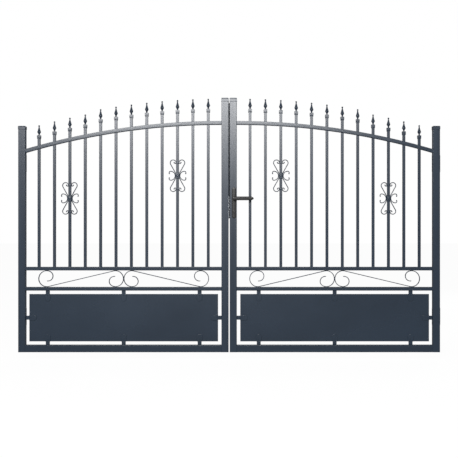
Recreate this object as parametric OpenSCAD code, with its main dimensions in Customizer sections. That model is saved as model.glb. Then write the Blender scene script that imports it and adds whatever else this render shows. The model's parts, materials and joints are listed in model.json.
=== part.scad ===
// Double swing gate: two leaves with a falling arch, square bars, scrolls and a closed lower panel.
// Each leaf hangs on two pin hinges that bolt to the side face of a pier, and opens to the rear.
// Millimetres. x runs across the opening, y from the front face to the rear, z is up.
// Shapes are drawn about the middle of the opening and moved so that the origin is the middle of
// the left lower wall plate, on the face that meets the pier.

/* [Opening] */
// Width of one leaf over its stiles
leaf_w = 1500; // [1100:10:1900]
// Gap between the two meeting stiles
centre_gap = 9; // [8:0.5:14]
// Gap between a leaf and the face of its pier
pier_gap = 15; // [13:1:22]
// Height of the gate in the middle, to the top of the meeting stiles' caps
gate_h = 1815; // [1500:5:2200]
// Fall of the arch, and of the stiles, from the middle to the hinge side
arch_fall = 200; // [80:5:300]
// Depth of the arch's top below the top of the meeting stiles
arch_drop = 165; // [150:1:200]

/* [Frame] */
// Side of the square stile tubes, and the depth of the bottom rail
stile_w = 50; // [46:1:60]
// Height of the bottom rail
bottom_rail_h = 50; // [40:1:100]
// Height of the panel rail, bar rail and top rail sections
rail_h = 25; // [20:1:35]
// Depth of the panel rail, bar rail and top rail sections
rail_d = 40; // [34:1:40]
// Height of the underside of the panel rail
panel_rail_z = 439; // [300:1:520]
// Clear height of the scroll band between the panel rail and the bar rail
scroll_band = 119; // [90:1:160]

/* [Stile caps] */
// Overhang of a cap past its tube
cap_lip = 1.5; // [0:0.5:1.5]
// Height of the upright edge of a cap
cap_band = 20; // [6:1:22]
// Height of a whole cap
cap_h = 28; // [24:1:34]
// Width of the flat top of a cap
cap_top_w = 40; // [20:1:40]

/* [Bars and finials] */
// Side of the square bars
bar_w = 20; // [16:1:24]
// Nominal spacing of the bars
bar_pitch = 110; // [90:1:130]
// Distance from a stile to the middle of the first bar
end_bar = 95; // [70:1:120]
// Clearance round a bar where it passes through a rail or into a socket
bar_fit = 0.2; // [0.1:0.1:0.5]
// Number of low finials next to the hinge stile
low_finials = 4; // [1:1:6]
// Height of the tip of a low finial above the top rail
low_rise = 145; // [120:1:160]
// Height of the tip of a high finial above the top rail
high_rise = 162; // [140:1:190]

/* [Scrolls] */
// Thickness of the scroll strip
strip_t = 5; // [3:0.5:6]
// Depth of the scroll strip, from front to rear
strip_d = 14; // [10:1:20]
// Clearance of a scroll from the rails above and below it
scroll_fit = 0.3; // [0.2:0.1:0.5]
// Distance from the hinge or meeting stile to the nearest scroll
scroll_end_gap = 90; // [60:1:120]
// Radius of the small inner turn of a scroll, at the middle of the strip
curl_r = 35.5; // [30:0.5:42]
// Angle of the place where the large turn passes into the small one
curl_from = 64; // [40:1:70]
// Angle at which the small turn ends
curl_to = -100; // [-120:1:-80]

/* [Cast ornaments] */
// Depth of the middle of each ornament below the arch, first the one nearer the hinge stile
ornament_drop = [433, 380]; // [300:1:480]
// Number of the ornamented bar, counted from the nearer stile
ornament_bar = 3; // [2:1:4]
// Depth of the ornament's limbs
limb_d = 8; // [6:1:12]
// Thickness of the ornament's limbs
limb_t = 6; // [5:0.5:8]

/* [Panel] */
// Thickness of the lower panel
panel_t = 3; // [2:0.5:4]
// Gap between the panel and the frame all round
panel_gap = 25; // [20:1:32]
// Distance of the outer clips from the ends of the panel
clip_inset = 132; // [60:1:260]
// Width of a clip where it crosses the gap
clip_neck = 28; // [20:1:30]
// Width of a clip's plate on the panel
clip_w = 40; // [32:1:46]
// Length of a clip's plate on the panel
clip_l = 52; // [40:1:60]
// Thickness of each of a clip's two plates
clip_t = 4; // [3:0.5:5]

/* [Hinges] */
// Height of the middle of the lower hinge
lower_hinge_z = 250; // [150:5:400]
// Depth of the middle of the upper hinge below the top of the hinge stile
upper_hinge_drop = 265; // [150:5:400]
// Diameter of the hinge pins
pin_d = 16; // [12:1:20]
// Running clearance between a pin and its eye, on the radius
pin_fit = 0.05; // [0.03:0.01:0.1]
// Distance of the pin's axis from the outer edge of the leaf
pin_inset = 9.5; // [9:0.5:12]
// Distance of the pin's axis behind the rear face of the leaf
pin_back = 20; // [18:1:24]
// Thickness of the wall of a hinge eye
eye_wall = 7; // [5:0.5:8]
// Height of a hinge eye
eye_h = 40; // [30:1:60]
// Thickness of the strap on the leaf
strap_t = 5; // [4:1:5]
// Height of the straps and of the wall plates
plate_h = 120; // [100:5:160]
// Width of a wall plate
wall_plate_w = 50; // [40:1:70]
// Thickness of a wall plate
wall_plate_t = 5; // [4:1:6]
// Spacing of the two anchor holes in a wall plate
anchor_pitch = 80; // [60:5:90]
// Diameter of the anchor holes
anchor_d = 11; // [9:0.5:13]

/* [Handle and lock] */
// Height of the lever's axis
lever_z = 1098; // [1000:1:1200]
// Distance of the lever's axis from the meeting edge of the leaf
lever_inset = 30.3; // [22:0.1:34]
// Length of a lever from its axis
lever_l = 140; // [110:1:150]
// Height of a lever's grip
grip_h = 23; // [16:1:26]
// Thickness of a lever's grip
grip_t = 12; // [8:1:16]
// Distance from the stile to the inner side of the grip
grip_out = 40; // [34:1:50]
// Width of the handle plates
handle_plate_w = 29; // [28:1:36]
// Reach of the handle plates above the lever's axis
handle_plate_up = 78; // [40:1:120]
// Reach of the handle plates below the lever's axis
handle_plate_down = 143; // [125:1:180]
// Thickness of the handle plates
handle_plate_t = 8; // [5:1:10]
// Diameter of a lever's neck where it turns in its plate
neck_d = 18; // [16:0.5:20]
// Side of the square spindle
spindle_w = 8; // [7:1:9]
// Distance of the lock cylinder below the lever's axis
cylinder_drop = 92; // [70:1:100]

/* [Meeting edge] */
// Height above the lever's axis at which the lock keeper ends and the meeting strip starts
strip_up = 18; // [0:1:60]
// Thickness of the meeting strip
meeting_strip_t = 3; // [2:0.5:3]
// Reach of the meeting strip past the edge of its stile
meeting_strip_reach = 3.9; // [2:0.1:4]
// Thickness of the lock keeper
keeper_t = 2; // [1.5:0.5:3]

/* [Hidden] */

$fn = 48;
arch_fn = 720;

coat = "#3a424c";
casting = "#353c45";
dark = "#26282b";
steel = "#8d9298";

// Edges of the left leaf and of the clear space between its stiles
outer_x = -(centre_gap / 2 + leaf_w);
edge_x = -centre_gap / 2;
span_x0 = outer_x + stile_w;
span_x1 = edge_x - stile_w;
span = span_x1 - span_x0;
leaf_mid_x = (span_x0 + span_x1) / 2;
mid_y = stile_w / 2;

// Heights of the stile tubes and the rails
hinge_tube_h = gate_h - arch_fall - cap_h;
meeting_tube_h = gate_h - cap_h;
arch_top = gate_h - arch_drop;
panel_rail_top = panel_rail_z + rail_h;
bar_rail_z = panel_rail_top + scroll_band;
bar_rail_top = bar_rail_z + rail_h;

// The arch: its circle touches the level at the meeting stile
arch_r = (span * span + arch_fall * arch_fall) / (2 * arch_fall);
function arch_z(x) = arch_top - arch_r + sqrt(arch_r * arch_r - pow(x - span_x1, 2));

// Bars, counted from the hinge stile, each cut so that its tip stands at a whole millimetre
bar_n = round((span - 2 * end_bar) / bar_pitch) + 1;
bar_step = (span - 2 * end_bar) / (bar_n - 1);
function bar_x(i) = span_x0 + end_bar + i * bar_step;
function tip_z(i) = round(arch_z(bar_x(i)) + (i < low_finials ? low_rise : high_rise));

// Finial, measured down from its tip
ball_d = 10;
point_d = 5;
flare_z = 51;
flare_d = 26;
waist_z = 70;
waist_d = 8.5;
foot_z = 73;
foot_d = 14;
block_h = 14.5;
block_w = bar_w + 7;
socket_w = bar_w + 5;
socket_h = 11.5;
socket_in = 14;
finial_h = foot_z + block_h + socket_h;
curve_n = 6;

// Scrolls: a large turn of radius turn_r passes into a small one, and the two ends of a strip
// are joined by a straight run that touches both large turns
turn_r = (scroll_band - strip_t) / 2 - scroll_fit;
scroll_z = panel_rail_top + scroll_band / 2;
weld = 0.5;
scroll_outer_x = span_x0 + scroll_end_gap + turn_r + strip_t / 2;
scroll_inner_x = leaf_mid_x + weld - turn_r - strip_t / 2;
eye_gap = scroll_inner_x - scroll_outer_x;
run_angle = asin(2 * turn_r / eye_gap);

// Ornament: each quarter has a lobe, a curl, a straight limb and a side hook, each ending in a bud
boss_w = bar_w + 21;
boss_h = 40;
boss_d = bar_w + 14;
lobe = [31, 92];
lobe_r = 21;
lobe_from = -28;
lobe_to = 170;
curl_back_r = 7;
limb_foot = [13, 17];
hook = [46, 22];
hook_r = 12;
hook_from = 140;
hook_to = 10;
hook_foot = [17, 6];
ornament_h = 2 * (lobe.y + lobe_r + limb_t / 2);
bud_d = 9;

// Hinge places, for the left side
hinge_z = [lower_hinge_z, gate_h - arch_fall - upper_hinge_drop];
eye_d = pin_d + 2 * pin_fit + 2 * eye_wall;
pin_x = outer_x + pin_inset;
pin_y = stile_w + pin_back;
pier_x = outer_x - pier_gap;
arm_t = 10;
arm_rest = 0.5;
arm_w = pin_d + 4;
pin_over = 6;
wall_plate_y = pin_y + 5;
web_w = 12;
origin = [pier_x, wall_plate_y + wall_plate_w / 2, hinge_z[0]];

// Handle places, on the right leaf
handle_plate_z = [lever_z - handle_plate_down, lever_z + handle_plate_up];
strip_z = lever_z + strip_up;
lever_x = centre_gap / 2 + lever_inset;
lever_gap = 0.3;
neck_fit = 0.05;
spindle_hole_d = 14;
cylinder_d = 17;
cylinder_web_w = 10;
cylinder_fit = 0.3;
cylinder_out = 3;
cylinder_z = lever_z - cylinder_drop;
tip_cut = 8;

// Meeting edge
strip_foot = 25;
strip_lift = 6;
strip_top_gap = 7;
keeper_y = [3, 40];
face_t = 1.2;
face_w = 20;

// Draws a flat shape upright, from y0 to y0 + d
module upright(y0, d) {
    translate([0, y0 + d, 0]) rotate([90, 0, 0]) linear_extrude(d) children();
}

// Points on an arc in n steps
function arc_path(c, r, from, to, n) = [for (k = [0:n]) let (a = from + (to - from) * k / n)
    c + r * [cos(a), sin(a)]];

// A path without its first point
function after_first(path) = [for (k = [1:len(path) - 1]) path[k]];

// The side direction of a path at point i
function side_way(path, i) = let (d = path[min(i + 1, len(path) - 1)] - path[max(i - 1, 0)])
    [-d.y, d.x] / norm(d);

// The outline of a strip of thickness t that follows a path
function strip_outline(path, t) = let (n = len(path) - 1) concat(
    [for (i = [0:n]) path[i] + t / 2 * side_way(path, i)],
    [for (i = [n:-1:0]) path[i] - t / 2 * side_way(path, i)]);

// A strip of thickness t and depth d that follows a path in the plane of the gate
module strip(path, t, d) {
    upright(mid_y - d / 2, d) polygon(strip_outline(path, t));
}

module bud(x, z, size, d) {
    translate([x, mid_y + d / 2, z]) rotate([90, 0, 0]) cylinder(d = size, h = d);
}

module place(side) {
    translate(-origin) mirror([side == "right" ? 1 : 0, 0, 0]) children();
}

module hinge_stile() {
    color(coat) translate([outer_x, 0, 0]) cube([stile_w, stile_w, hinge_tube_h]);
}

module lock_cutout(fit) {
    translate([lever_x, 0, cylinder_z]) {
        rotate([-90, 0, 0]) cylinder(d = cylinder_d + 2 * fit, h = 3 * stile_w, center = true);
        translate([-cylinder_web_w / 2 - fit, -1.5 * stile_w, -cylinder_d - fit])
            cube([cylinder_web_w + 2 * fit, 3 * stile_w, cylinder_d]);
    }
}

module meeting_stile(with_lock) {
    color(coat) difference() {
        translate([edge_x - stile_w, 0, 0]) cube([stile_w, stile_w, meeting_tube_h]);
        if (with_lock) mirror([1, 0, 0]) {
            translate([lever_x, mid_y, lever_z]) rotate([-90, 0, 0])
                cylinder(d = spindle_hole_d, h = stile_w + 2, center = true);
            lock_cutout(cylinder_fit);
        }
    }
}

// A cap has an upright edge, four sloping sides and a flat top
module stile_cap(x, z) {
    w = stile_w + 2 * cap_lip;
    profile = [[-w / 2, 0], [w / 2, 0], [w / 2, cap_band], [cap_top_w / 2, cap_h],
        [-cap_top_w / 2, cap_h], [-w / 2, cap_band]];
    translate([x, mid_y, z]) intersection() {
        rotate([90, 0, 0]) linear_extrude(w, center = true) polygon(profile);
        rotate([90, 0, 90]) linear_extrude(w, center = true) polygon(profile);
    }
}

module stile_caps() {
    color(casting) {
        stile_cap(outer_x + stile_w / 2, hinge_tube_h);
        stile_cap(edge_x - stile_w / 2, meeting_tube_h);
    }
}

module bottom_rail() {
    color(coat) translate([span_x0, 0, 0]) cube([span, stile_w, bottom_rail_h]);
}

module level_rail(z) {
    color(coat) translate([span_x0, mid_y - rail_d / 2, z]) cube([span, rail_d, rail_h]);
}

module top_rail() {
    hole = bar_w + 2 * bar_fit;
    low = arch_top - arch_fall - 2 * rail_h;
    color(coat) difference() {
        intersection() {
            translate([span_x1, mid_y, arch_top - arch_r]) rotate([90, 0, 0]) rotate([0, 0, 90])
                rotate_extrude(angle = asin(span / arch_r) + 1, $fn = arch_fn)
                    translate([arch_r - rail_h, -rail_d / 2]) square([rail_h, rail_d]);
            translate([span_x0, 0, low]) cube([span, stile_w, arch_top - low + 1]);
        }
        for (i = [0:bar_n - 1])
            translate([bar_x(i) - hole / 2, mid_y - hole / 2, arch_z(bar_x(i)) - 2 * rail_h])
                cube([hole, hole, 3 * rail_h]);
    }
}

module bars() {
    color(coat) for (i = [0:bar_n - 1])
        translate([bar_x(i) - bar_w / 2, mid_y - bar_w / 2, bar_rail_top])
            cube([bar_w, bar_w, tip_z(i) - finial_h + socket_in - bar_rail_top]);
}

// A finial is turned above its square block, and its socket slips over the end of a bar
module finial() {
    flare = [for (k = [0:curve_n]) let (t = k / curve_n)
        [point_d / 2 + (flare_d - point_d) / 2 * t * t, -ball_d - (flare_z - ball_d) * t]];
    under = [for (k = [1:curve_n]) let (t = k / curve_n)
        [waist_d / 2 + (flare_d - waist_d) / 2 * pow(1 - t, 2), -flare_z - (waist_z - flare_z) * t]];
    translate([0, 0, -ball_d / 2]) sphere(d = ball_d);
    rotate_extrude() polygon(concat([[0, -ball_d / 2], [point_d / 2, -ball_d / 2]], flare, under,
        [[foot_d / 2, -foot_z], [0, -foot_z]]));
    translate([-block_w / 2, -block_w / 2, -foot_z - block_h]) cube([block_w, block_w, block_h]);
    translate([-socket_w / 2, -socket_w / 2, -finial_h]) cube([socket_w, socket_w, socket_h]);
}

module socket_space() {
    w = bar_w + 2 * bar_fit;
    translate([-w / 2, -w / 2, -finial_h - 1]) cube([w, w, socket_in + 1]);
}

module finials() {
    color(casting) for (i = [0:bar_n - 1])
        translate([bar_x(i), mid_y, tip_z(i)]) difference() {
            finial();
            socket_space();
        }
}

// One quarter of an ornament, right of the bar and above the middle
module ornament_quarter() {
    curl = lobe + (lobe_r - curl_back_r) * [cos(lobe_to), sin(lobe_to)];
    heart_path = concat([limb_foot], arc_path(lobe, lobe_r, lobe_from, lobe_to, 20),
        after_first(arc_path(curl, curl_back_r, lobe_to, 360, 12)));
    hook_path = concat([hook_foot], arc_path(hook, hook_r, hook_from, hook_to, 12));
    strip(heart_path, limb_t, limb_d);
    strip(hook_path, limb_t, limb_d);
    for (end = [heart_path[len(heart_path) - 1], hook_path[len(hook_path) - 1]])
        bud(end.x, end.y, bud_d, limb_d + 1);
}

module ornament(x, z) {
    hole = bar_w + 2 * bar_fit;
    translate([x, 0, z]) difference() {
        union() {
            translate([-boss_w / 2, mid_y - boss_d / 2, -boss_h / 2]) cube([boss_w, boss_d, boss_h]);
            for (mx = [0, 1]) for (mz = [0, 1])
                mirror([mx, 0, 0]) mirror([0, 0, mz]) ornament_quarter();
        }
        translate([-hole / 2, mid_y - hole / 2, -ornament_h]) cube([hole, hole, 2 * ornament_h]);
    }
}

module ornaments() {
    color(casting) {
        for (k = [0, 1]) {
            x = bar_x(k == 0 ? ornament_bar - 1 : bar_n - ornament_bar);
            ornament(x, round(arch_z(x)) - ornament_drop[k]);
        }
    }
}

// Half of a scroll's path, from the eye nearer the hinge stile to the middle of the straight run
function scroll_half() = let (
    large = [-eye_gap / 2, 0],
    small = large + (turn_r - curl_r) * [cos(curl_from), sin(curl_from)])
    concat(arc_path(small, curl_r, curl_to, curl_from, 16),
        after_first(arc_path(large, turn_r, curl_from, 270 + run_angle, 32)));

module scroll() {
    half = scroll_half();
    path = concat(half, [for (k = [len(half) - 1:-1:0]) -half[k]]);
    translate([(scroll_outer_x + scroll_inner_x) / 2, 0, scroll_z]) strip(path, strip_t, strip_d);
}

module scrolls() {
    color(coat) {
        scroll();
        translate([2 * leaf_mid_x, 0, 0]) mirror([1, 0, 0]) scroll();
    }
}

module panel() {
    color(coat) translate([span_x0 + panel_gap, mid_y - panel_t / 2, bottom_rail_h + panel_gap])
        cube([span - 2 * panel_gap, panel_t, panel_rail_z - bottom_rail_h - 2 * panel_gap]);
}

// A clip hangs from z = 0 and forks over the panel's edge
module panel_clip() {
    depth = panel_t + 2 * clip_t;
    translate([-clip_neck / 2, mid_y - depth / 2, -panel_gap]) cube([clip_neck, depth, panel_gap]);
    for (y0 = [mid_y - depth / 2, mid_y + panel_t / 2]) upright(y0, clip_t) {
        translate([0, -panel_gap - clip_l + clip_w / 2]) circle(d = clip_w);
        translate([-clip_w / 2, -panel_gap - clip_l + clip_w / 2])
            square([clip_w, clip_l - clip_w / 2]);
    }
}

module panel_clips() {
    side_z = (bottom_rail_h + panel_rail_z) / 2;
    clip_x = span / 2 - panel_gap - clip_inset;
    color(coat) {
        for (x = [-clip_x, 0, clip_x]) translate([leaf_mid_x + x, 0, 0]) {
            translate([0, 0, panel_rail_z]) panel_clip();
            translate([0, 0, bottom_rail_h]) mirror([0, 0, 1]) panel_clip();
        }
        translate([span_x0, 0, side_z]) rotate([0, -90, 0]) panel_clip();
        translate([span_x1, 0, side_z]) rotate([0, 90, 0]) panel_clip();
    }
}

// The leaf's half of a hinge: a strap on the rear of the stile and an eye round the pin
module hinge_eye(z) {
    translate([0, 0, z]) difference() {
        union() {
            translate([outer_x, stile_w, -plate_h / 2]) cube([stile_w, strap_t, plate_h]);
            translate([pin_x - web_w / 2, stile_w, -eye_h / 2]) cube([web_w, pin_back, eye_h]);
            translate([pin_x, pin_y, -eye_h / 2]) cylinder(d = eye_d, h = eye_h);
        }
        translate([pin_x, pin_y, -eye_h]) cylinder(d = pin_d + 2 * pin_fit, h = 2 * eye_h);
    }
}

module hinge_eyes() {
    color(dark) for (z = hinge_z) hinge_eye(z);
}

// The pier's half of a hinge: a wall plate, an arm under the eye and a fixed pin
module wall_hinge(z) {
    arm_z = -eye_h / 2 - arm_rest - arm_t;
    color(dark) translate([0, 0, z]) {
        difference() {
            translate([pier_x, wall_plate_y, -plate_h / 2])
                cube([wall_plate_t, wall_plate_w, plate_h]);
            for (dz = [-anchor_pitch / 2, anchor_pitch / 2])
                translate([pier_x - 1, wall_plate_y + wall_plate_w / 2, dz]) rotate([0, 90, 0])
                    cylinder(d = anchor_d, h = wall_plate_t + 2);
        }
        translate([pier_x + wall_plate_t, pin_y - arm_w / 2, arm_z])
            cube([pin_x - pier_x - wall_plate_t, 2 * arm_w, arm_t]);
        translate([pin_x, pin_y, arm_z]) cylinder(d = arm_w, h = arm_t);
        translate([pin_x, pin_y, arm_z])
            cylinder(d = pin_d, h = arm_t + arm_rest + eye_h + pin_over);
    }
}

// A Z profile on the rear of the left meeting stile that closes part of the gap
module meeting_strip() {
    color(dark) translate([edge_x, stile_w, strip_z]) linear_extrude(
        meeting_tube_h - strip_top_gap - strip_z) {
        translate([-strip_foot, 0]) square([strip_foot, meeting_strip_t]);
        translate([-meeting_strip_t, 0])
            square([meeting_strip_t, strip_lift + meeting_strip_t]);
        translate([-meeting_strip_t, strip_lift])
            square([meeting_strip_t + meeting_strip_reach, meeting_strip_t]);
    }
}

module lock_keeper() {
    color(steel) translate([edge_x, keeper_y[0], handle_plate_z[0]])
        cube([keeper_t, keeper_y[1] - keeper_y[0], strip_z - handle_plate_z[0]]);
}

// The lock's face plate, on the meeting edge of the right leaf
module lock_face() {
    color(steel) translate([centre_gap / 2 - face_t, mid_y - face_w / 2, handle_plate_z[0]])
        cube([face_t, face_w, strip_z - handle_plate_z[0]]);
}

// A handle plate in front of the right meeting stile, with bores for the neck and the cylinder
module handle_plate() {
    r = handle_plate_w / 2;
    color(dark) difference() {
        upright(-handle_plate_t, handle_plate_t) translate([lever_x, 0]) {
            for (z = [handle_plate_z[0] + r, handle_plate_z[1] - r]) translate([0, z]) circle(r = r);
            translate([-r, handle_plate_z[0] + r])
                square([2 * r, handle_plate_z[1] - handle_plate_z[0] - 2 * r]);
        }
        translate([lever_x, -handle_plate_t / 2, lever_z]) rotate([90, 0, 0])
            cylinder(d = neck_d + 2 * neck_fit, h = 2 * handle_plate_t, center = true);
        lock_cutout(cylinder_fit);
    }
}

// A lever in front of the right leaf: its neck turns in the plate and its grip points sideways
module lever() {
    grip_y = -grip_out - grip_t;
    color(dark) translate([lever_x, 0, lever_z]) {
        translate([0, -lever_gap, 0]) rotate([90, 0, 0])
            cylinder(d = neck_d, h = grip_out + grip_t - lever_gap);
        translate([0, grip_y, 0]) rotate([-90, 0, 0]) cylinder(d = grip_h, h = grip_t);
        upright(grip_y, grip_t) polygon([[0, -grip_h / 2], [lever_l - tip_cut, -grip_h / 2],
            [lever_l, tip_cut - grip_h / 2], [lever_l, grip_h / 2 - tip_cut],
            [lever_l - tip_cut, grip_h / 2], [0, grip_h / 2]]);
    }
}

module to_rear() {
    translate([0, stile_w, 0]) mirror([0, 1, 0]) children();
}

module handle_spindle() {
    color(steel) translate([lever_x - spindle_w / 2, -lever_gap, lever_z - spindle_w / 2])
        cube([spindle_w, stile_w + 2 * lever_gap, spindle_w]);
}

module lock_cylinder() {
    depth = stile_w + 2 * (handle_plate_t + cylinder_out);
    y0 = -handle_plate_t - cylinder_out;
    color(steel) translate([lever_x, y0, cylinder_z]) {
        rotate([-90, 0, 0]) cylinder(d = cylinder_d, h = depth);
        translate([-cylinder_web_w / 2, 0, -cylinder_d]) cube([cylinder_web_w, depth, cylinder_d]);
    }
}

place("left") wall_hinge(hinge_z[0]);  // left_lower_wall_hinge
place("left") wall_hinge(hinge_z[1]);  // left_upper_wall_hinge
place("right") wall_hinge(hinge_z[0]);  // right_lower_wall_hinge
place("right") wall_hinge(hinge_z[1]);  // right_upper_wall_hinge

place("left") hinge_stile();  // left_hinge_stile
place("left") meeting_stile(false);  // left_meeting_stile
place("left") stile_caps();  // left_stile_caps
place("left") bottom_rail();  // left_bottom_rail
place("left") level_rail(panel_rail_z);  // left_panel_rail
place("left") level_rail(bar_rail_z);  // left_bar_rail
place("left") top_rail();  // left_top_rail
place("left") bars();  // left_bars
place("left") finials();  // left_finials
place("left") ornaments();  // left_ornaments
place("left") scrolls();  // left_scrolls
place("left") panel();  // left_panel
place("left") panel_clips();  // left_panel_clips
place("left") hinge_eyes();  // left_hinge_eyes
place("left") meeting_strip();  // left_meeting_strip
place("left") lock_keeper();  // left_lock_keeper

place("right") hinge_stile();  // right_hinge_stile
place("right") meeting_stile(true);  // right_meeting_stile
place("right") stile_caps();  // right_stile_caps
place("right") bottom_rail();  // right_bottom_rail
place("right") level_rail(panel_rail_z);  // right_panel_rail
place("right") level_rail(bar_rail_z);  // right_bar_rail
place("right") top_rail();  // right_top_rail
place("right") bars();  // right_bars
place("right") finials();  // right_finials
place("right") ornaments();  // right_ornaments
place("right") scrolls();  // right_scrolls
place("right") panel();  // right_panel
place("right") panel_clips();  // right_panel_clips
place("right") hinge_eyes();  // right_hinge_eyes

place("left") lock_face();  // right_lock_face
place("left") handle_plate();  // front_handle_plate
place("left") to_rear() handle_plate();  // rear_handle_plate
place("left") lock_cylinder();
place("left") lever();  // front_lever
place("left") to_rear() lever();  // rear_lever
place("left") handle_spindle();
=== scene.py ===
# %% [markdown]
# Double swing gate. Two leaves close an opening of about three metres. Each leaf is a welded frame of
# square aluminium tube under an arched rail, filled with square bars, scrolls and a closed lower panel.
# The measured frame gives every size and place. This script builds the finer shapes that stand for its
# plain solids, and gives each of them its finish. All lengths are in metres, and MM turns millimetres
# into them.

# %% Load the measured frame
import json
import math

import bmesh
import bpy
from mathutils import Matrix, Vector


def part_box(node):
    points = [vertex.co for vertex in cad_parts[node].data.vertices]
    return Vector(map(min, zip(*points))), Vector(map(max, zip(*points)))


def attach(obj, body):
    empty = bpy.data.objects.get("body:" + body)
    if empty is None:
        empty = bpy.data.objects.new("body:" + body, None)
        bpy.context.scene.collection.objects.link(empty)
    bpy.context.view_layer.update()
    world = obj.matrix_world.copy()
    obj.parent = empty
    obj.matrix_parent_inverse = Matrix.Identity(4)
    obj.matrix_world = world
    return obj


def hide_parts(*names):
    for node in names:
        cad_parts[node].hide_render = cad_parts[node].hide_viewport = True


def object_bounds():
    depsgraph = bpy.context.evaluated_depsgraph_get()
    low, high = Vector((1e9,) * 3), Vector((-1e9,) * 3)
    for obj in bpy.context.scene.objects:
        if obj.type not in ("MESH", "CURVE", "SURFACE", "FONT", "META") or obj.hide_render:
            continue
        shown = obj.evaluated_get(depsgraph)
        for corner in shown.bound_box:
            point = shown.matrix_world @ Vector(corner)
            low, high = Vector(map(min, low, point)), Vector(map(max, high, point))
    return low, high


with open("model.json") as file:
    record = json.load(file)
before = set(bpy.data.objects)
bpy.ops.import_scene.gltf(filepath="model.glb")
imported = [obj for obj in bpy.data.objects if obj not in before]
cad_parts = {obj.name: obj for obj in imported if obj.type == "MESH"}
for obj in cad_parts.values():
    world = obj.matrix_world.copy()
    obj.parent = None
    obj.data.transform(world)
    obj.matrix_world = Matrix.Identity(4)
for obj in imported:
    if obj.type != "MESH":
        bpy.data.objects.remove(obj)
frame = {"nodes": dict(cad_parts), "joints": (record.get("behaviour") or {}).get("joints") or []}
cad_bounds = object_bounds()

MM = 0.001
print("frame box", [[round(v, 4) for v in corner] for corner in cad_bounds])

# %% [markdown]
# A node of the frame can hold several solids, such as the twelve bars of a leaf. Its vertices could be
# listed by hand, but the mesh already knows which of them hang together, so this helper walks along
# the edges and gives the box of each solid. It works on a merged copy and leaves the node alone.


# %% Read sizes from the frame
def solids(node):
    """The lowest and highest corner of each separate solid of a node, from left to right."""
    bm = bmesh.new()
    bm.from_mesh(frame["nodes"][node].data)
    bmesh.ops.remove_doubles(bm, verts=bm.verts, dist=MM / 100)
    left = set(bm.verts)
    boxes = []
    while left:
        todo, shell = [left.pop()], []
        while todo:
            vert = todo.pop()
            shell.append(vert.co.copy())
            for edge in vert.link_edges:
                other = edge.other_vert(vert)
                if other in left:
                    left.remove(other)
                    todo.append(other)
        low = Vector(min(co[axis] for co in shell) for axis in range(3))
        high = Vector(max(co[axis] for co in shell) for axis in range(3))
        boxes.append((low, high))
    bm.free()
    return sorted(boxes, key=lambda box: (round(box[0].x, 4), round(box[0].z, 4)))


hinge_low, hinge_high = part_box("left_hinge_stile")
meeting_low, meeting_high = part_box("left_meeting_stile")
middle_x = (cad_bounds[0].x + cad_bounds[1].x) / 2
pin_x, pin_y, _ = next(j for j in frame["joints"] if j["name"] == "left_swing")["pos_m"]
bay_x0, bay_x1 = hinge_high.x, meeting_low.x
bay = bay_x1 - bay_x0
mid_y = (hinge_low.y + hinge_high.y) / 2
off_mirror = max(
    abs(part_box(f"left_{n}")[0].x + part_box(f"right_{n}")[1].x - 2 * middle_x)
    for n in ("hinge_stile", "bars", "finials", "scrolls", "hinge_eyes", "panel_clips"))
print("bay", round(bay, 4), "leaves mirror to", round(off_mirror * 1e6, 2), "micrometres")

# %% [markdown]
# Shapes are made with bmesh operators. Three helpers do most of the work: a block with rounded edges,
# a rod with chamfered ends, and a stamp that adds a finished shape again somewhere else. A real tube or
# casting never has a knife edge, and its small radius is what catches a thin line of light, so every
# block is bevelled.


# %% Helpers for blocks, rods and repeated shapes
def edges_of(verts):
    return list({edge for vert in verts for edge in vert.link_edges})


def faces_of(verts):
    return list({face for vert in verts for face in vert.link_faces})


def block(bm, low, high, edge, along=None, segments=3):
    """A block between two corners with rounded edges, or only those that run along one axis."""
    low, high = Vector(low), Vector(high)
    place = Matrix.Translation((low + high) / 2) @ Matrix.Diagonal((*(high - low), 1))
    edges = edges_of(bmesh.ops.create_cube(bm, size=1, matrix=place)["verts"])
    if along is not None:
        edges = [e for e in edges if abs((e.verts[0].co - e.verts[1].co)[along]) > MM / 100]
    bmesh.ops.bevel(bm, geom=edges, offset=edge, segments=segments, affect="EDGES", profile=0.5,
                    material=-1, clamp_overlap=True)


def rod(bm, foot, tip, radius, chamfer, tip_radius=None, sides=32):
    """A round or many-sided rod from foot to tip with its end edges chamfered."""
    foot, tip = Vector(foot), Vector(tip)
    axis = (tip - foot).normalized()
    place = Matrix.Translation((foot + tip) / 2) @ axis.to_track_quat("Z", "Y").to_matrix().to_4x4()
    verts = bmesh.ops.create_cone(
        bm, cap_ends=True, segments=sides, radius1=radius, radius2=tip_radius or radius,
        depth=(tip - foot).length, matrix=place)["verts"]
    rims = [e for e in edges_of(verts)
            if abs((e.verts[0].co - e.verts[1].co).dot(axis)) < MM / 100]
    if chamfer:
        bmesh.ops.bevel(bm, geom=rims, offset=chamfer, segments=2, affect="EDGES", profile=0.5,
                        material=-1, clamp_overlap=True)


def shape_of(make, *args):
    """A mesh made once, to be stamped many times."""
    bm = bmesh.new()
    make(bm, *args)
    mesh = bpy.data.meshes.new(make.__name__)
    bm.to_mesh(mesh)
    bm.free()
    return mesh


def stamp(bm, shape, matrix):
    copy = shape.copy()
    copy.transform(matrix)
    bm.from_mesh(copy)
    bpy.data.meshes.remove(copy)


# %% [markdown]
# Each shape becomes a piece that rides on one body of the gate: the pier's hinges, a leaf, or the
# handle. The right leaf mirrors the left one, so a leaf's shapes are modelled once, on the left, and
# flipped. A flip turns a mesh inside out, so the normals are worked out again. Rounded edges are
# shaded smooth, and the weighted normals keep the wide faces beside them flat. Steeper edges stay sharp.


# %% Helper that finishes a piece
SMOOTH_BELOW = 50
triangles = {}


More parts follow.
